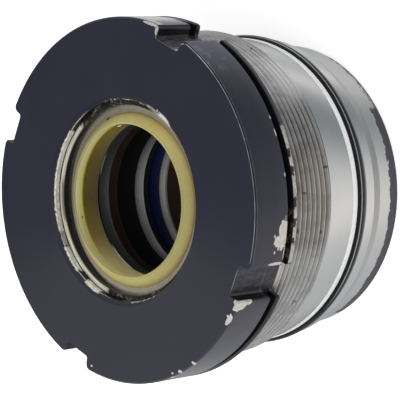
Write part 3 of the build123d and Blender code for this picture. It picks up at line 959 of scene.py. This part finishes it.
def moulded(node, name, dark, light, roughness, turning=0.004, stops=None, oily=False, **constants):
    """Finish for a ring: two close tones, faint rings from its mould or lathe, and its own levels of painted light and
    shade round the head.
    """
    f = HeadFinish(name, rings[node])
    fine = f.streaks(6, 4)
    cloud = f.ease(f.grain(0.6, 4, 0.65), 0.25, 0.75)
    colour = f.tint(fine * 0.5 + cloud * 0.5, dark, light)
    if stops:
        colour = f.shade(colour, f.tone(stops))
    if oily:
        colour = f.tint(f.fade(f.radius + f.ragged * 0.15, 25.2, 26.3) * 0.62, colour, (100, 92, 78))
    f.surface(colour, fine * 0.12 + roughness, height=fine * turning + f.ragged * turning, **constants)


moulded("wiper_case", "wiper_case_metal", (172, 161, 142), (216, 208, 188), 0.55, 0.012, CASE_LIGHT_LEVEL, oily=True,
        Specular_IOR_Level=0.3)
moulded("rod_seal_backup", "nylon_brown", (20, 12, 10), (37, 23, 19), 0.55, Specular_IOR_Level=0.12)
moulded("rod_seal", "rubber_seal", (4, 4, 5), (8, 8, 9), 0.6, Specular_IOR_Level=0.1)
moulded("buffer_backup", "nylon_black", (8, 9, 12), (15, 16, 20), 0.55, Specular_IOR_Level=0.1)
moulded("buffer_ring", "polyurethane_blue", (3, 10, 42), (7, 18, 68), 0.45, Specular_IOR_Level=0.12)
moulded("outer_backup_ring", "ptfe_white", (230, 230, 229), (242, 242, 241), 0.4, stops=WHITE_LIGHT_LEVEL)

# %% Wiper lip
# angle and level of painted light and shade on the wiper round the head, on its face, on the slope behind it
# and down its inner wall
FACE_LIGHT_LEVEL = [
    (-180, 0.6), (-135, 0.86), (-90, 0.78), (-45, 0.6), (0, 0.64), (45, 0.86), (90, 0.92), (125, 0.84), (150, 0.7),
    (180, 0.6),
]
SLOPE_LIGHT_LEVEL = [(-180, 1), (-110, 1), (-50, 0.6), (60, 0.55), (100, 0.72), (150, 0.74), (180, 1)]
INNER_LIGHT_LEVEL = [
    (-180, 0.29), (-150, 0.68), (-120, 1), (-80, 1), (0, 0.8), (70, 0.5), (120, 0.43), (150, 0.3), (180, 0.29),
]

# polyurethane that has gone pale on its face and olive where it is oily, with painted light and shade: levels round
# the head on its face, slope and inner wall, and a patch of painted light on the inner wall low down
f = HeadFinish("wiper_polyurethane", rings["wiper_lip"])
cloud = f.grain(0.4, 3)
tip = f.fade(f.depth, 2.66, 2.86)
face = f.either(f.ease(f.radius, 22.15, 22.3) * f.fade(f.depth, 5, 5.4), tip)
skin = f.tint(cloud, (178, 168, 104), (198, 188, 124))
rim_side = f.ease(f.radius + f.coarse * 0.2, 23.6, 24.8)
pores = f.grain(4, 2, 0.8)
skin = f.layers(skin, [
    (f.arc(165, 52, 30) * 0.8, (156, 151, 122)),
    (f.arc(64, 15, 12) * f.ease(cloud, 0.35, 0.6) * 0.5, (188, 156, 66)),
    (f.fade(f.radius, 22.3, 23.2) * (1 - tip) * 0.8, (186, 180, 132)),
    (tip * 0.6, (164, 155, 100)),
    (rim_side * 0.5, (140, 120, 80)),
    (f.ease(pores, 0.42, 0.66) * 0.22, (128, 116, 62)),
])
rub = f.band(f.radius + f.ragged * 0.06, 24.62, 24.8, 0.06) * f.arc(25, 76, 20)
# a brown rub line, then the face's painted light and shade round the head
skin = f.shade(f.tint(rub * 0.5, skin, (112, 76, 44)), f.tone(FACE_LIGHT_LEVEL))
slope = f.tint(f.ease(f.depth + f.ragged * 0.3, 3.2, 5.4), (236, 230, 182), (234, 226, 128))
slope = f.shade(slope, f.tone(SLOPE_LIGHT_LEVEL))
slope = f.tint(f.arc(30, 80, 25) * 0.9, slope, (172, 168, 128))
back = f.ease(f.depth, 6.5, 11.5)
inner = f.tint(back, f.tint(cloud, (160, 136, 52), (176, 154, 68)), (162, 150, 98))
# painted light: the inner wall lighter low down
inner = f.tint(f.arc(256, 38, 16) * 0.85, inner, (218, 204, 146))
inner = f.shade(inner, f.tone(INNER_LIGHT_LEVEL))
colour = f.tint(f.ease(f.depth + f.ragged * 0.2, 5.2, 6.5), slope, inner)
flecks = f.either(*[f.spot(*fleck, axial=f.depth) for fleck in (
    (109, 4.6, 0.7, 0.4, 24.9), (-167, 4.9, 0.4, 0.3, 22.1), (179, 9.7, 0.25, 0.25, 22.2))])
speck = f.spot(109, 8, 0.6, 0.6, 22.2)
marks = f.ease(f.grain(1.3, 2, 0.7), 0.72, 0.8)
colour = f.layers(colour, [
    (face, skin),
    (flecks * 0.85, (48, 36, 20)),
    (speck, (255, 252, 240)),
    (marks * 0.25, (96, 84, 52)),
])
f.surface(colour, 0.48 + cloud * 0.12, height=f.ragged * 0.012 + pores * 0.008,
          Subsurface_Weight=0.1, Subsurface_Scale=0.002, Specular_IOR_Level=0.2)

# %% Snap ring, O-ring and guide ring
# oily spring steel with painted highlights: a bright band along its rounded corner round one side, a brighter
# patch near 46 degrees and flecks of painted sheen
f = HeadFinish("snap_ring_steel", rings["snap_ring"])
across = (HOUSING_R - f.radius) + (f.depth - SNAP_START)
lines = f.ease(f.streaks(4, 3, across, detail=2), 0.36, 0.64)
half = f.arc(189, 60, 2, 4)
rubbed_and_highlight = f.band(across + f.ragged * 0.1, 0.16, 1.9, 0.14) * half
dip = f.arc(180, 13, 4, 4) * f.ease(across, 0.62, 0.8) * 0.62
rubbed_and_highlight = rubbed_and_highlight * (0.55 + lines * 0.45) * (1 - dip) * (1 - f.ease(across, 1, 2) * 0.85)
sheen_flecks = f.ease(f.grain(0.9, 3, 0.6), 0.5, 0.72) * (f.arc(108, 20, 10) * 0.28 + f.arc(268, 24, 10) * 0.3)
rubbed_and_highlight = f.either(rubbed_and_highlight, sheen_flecks, f.arc(46, 18, 6) * 0.5)
colour = f.tint(rubbed_and_highlight, (24, 23, 17), (220, 219, 200))
f.surface(colour, 0.36, metal=0.3, height=lines * 0.015)

# black rubber with a grey painted highlight in a thin line along its outside
f = HeadFinish("rubber_o_ring", rings["outer_o_ring"])
line = f.band(f.depth + f.coarse * 0.06, 50.92, 51.2, 0.06) * f.ease(f.radius, 45.3, 45.4)
tone = f.tint(f.grain(0.5, 3), (9, 9, 10), (16, 16, 17))
seen = f.arc(20, 62, 10)
colour = f.tint(line * seen * (0.7 + f.arc(62, 10, 6) * 0.3), tone, (154, 156, 158))
f.surface(colour, 0.3 + f.coarse * 0.06, height=f.ragged * 0.004, Specular_IOR_Level=0.4)

# brown weave, with a pale bare line at its front edge
f = HeadFinish("nylon_wear_brown", rings["wear_ring"])
fine = f.streaks(6, 4)
pale = f.band(f.depth, 40.6, 40.9, 0.05) * f.arc(185, 50, 8)
colour = f.tint(fine, (34, 24, 19), (50, 34, 28))
colour = f.tint(pale * 0.45, colour, (176, 168, 158))
f.surface(colour, 0.55 + fine * 0.1, height=fine * 0.006, Specular_IOR_Level=0.12)

# %% [markdown]
# ## Floor, world and lamps
#
# The floor is plain and pale. Seen straight by the camera it glows a little as well as catching light, so it
# stays white while the head's shadow still shows. Polished steel is only as lively as what it mirrors, so the
# world has soft lighter and darker sides, as a light tent does, and the floor hides from mirror rays. The
# darker sides are also a little cooler. Three soft lamps give the shading, and no mirror ray sees them.

# %% Floor
bpy.ops.mesh.primitive_plane_add(size=6)
floor = bpy.context.object
floor.name = "floor"
floor.visible_glossy = False

paper = bpy.data.materials.new("paper")
paper.use_nodes = True
sheet = Finish(paper.node_tree)
seen = sheet.node("ShaderNodeLightPath")
lit = sheet.node("ShaderNodeBsdfDiffuse", {}, {"Color": rgb(232, 232, 232)})
glow = sheet.node("ShaderNodeEmission", {}, {"Color": (1, 1, 1, 1), "Strength": 0.42})
both = sheet.node("ShaderNodeAddShader", {}, {0: lit, 1: glow})
shown = sheet.node("ShaderNodeMixShader", {}, {0: seen, 1: lit, 2: both})
sheet.node("ShaderNodeOutputMaterial", {}, {"Surface": shown})
floor.data.materials.append(paper)
print("floor at", round(floor.location.z, 4))

# %% World
world = bpy.data.worlds.new("studio")
bpy.context.scene.world = world
world.use_nodes = True
sky = Finish(world.node_tree)
ray = sky.node("ShaderNodeLightPath")
toward = sky.node("ShaderNodeTexCoord", {}, {}, output=0)
x = sky.node("ShaderNodeSeparateXYZ", {}, {0: toward})
heading = sky.math("ARCTAN2", x.beside(1), x) * degrees(1) + SLOT_ANGLE


# heading round the head in degrees, and how bright the tent is there for a ray that goes down past the rim
TENT = [
    (-180, 0.6), (-109, 0.64), (-67, 0.72), (-46, 0.8), (-28, 1.04), (-12, 1.02), (0, 0.92), (12, 0.8),
    (27, 0.56), (38, 0.41), (50, 0.33), (60, 0.34), (70, 0.42), (80, 0.62), (90, 1.12), (100, 0.74),
    (111, 0.62), (131, 0.8), (152, 0.46), (180, 0.52),
]
panels = []
for turn, level in TENT:
    cool = 0.11 * (0.8 - level)
    panels.append(((turn + 180) / 360, (level * (1 - cool), level, level * (1 + cool), 1)))
below = sky.node("ShaderNodeValToRGB", {"stops": panels}, {0: (heading + 180) / 360})
above = (0.34, 0.34, 0.36, 1)
high = sky.ease(x.beside(2), -0.15, 0.15)
mirrored = sky.tint(high, below, above)
plain = (0.55, 0.55, 0.56, 1)
seen_by = sky.tint(ray.beside(3), plain, mirrored)
seen_by = sky.tint(ray, seen_by, (1, 1, 1, 1))
backdrop = sky.node("ShaderNodeBackground", {}, {"Color": seen_by, "Strength": 1})
sky.node("ShaderNodeOutputWorld", {}, {"Surface": backdrop})
print("world has", len(world.node_tree.nodes), "nodes")

# %% Lamps
def soft_lamp(name, azimuth, elevation, distance, size, watts):
    """Square lamp that faces the middle of the head."""
    lamp = bpy.data.objects.new(name, bpy.data.lights.new(name, "AREA"))
    bpy.context.scene.collection.objects.link(lamp)
    lamp.data.size = size
    lamp.data.energy = watts
    target = Vector((0, 0, LENGTH * MM / 2))
    away = direction(azimuth, elevation)
    lamp.location = target + away * distance
    lamp.rotation_euler = away.to_track_quat("Z", "Y").to_euler()
    lamp.visible_glossy = False


soft_lamp("key_lamp", -100, 55, 1.2, 0.9, 9)
soft_lamp("fill_lamp", 60, 40, 1.4, 1.2, 8)
soft_lamp("low_lamp", -153.6, 38, 0.3, 0.2, 0.35)

# %% [markdown]
# ## Size and close
#
# The dressed head has to stay inside the CAD model's box, so that box is printed. The cell also sets the plain
# view transform.

# %% Write sizes and finish
bpy.context.scene.view_settings.view_transform = "Standard"
print("CAD box", [round(v / MM, 2) for v in (*cad_low, *cad_high)])
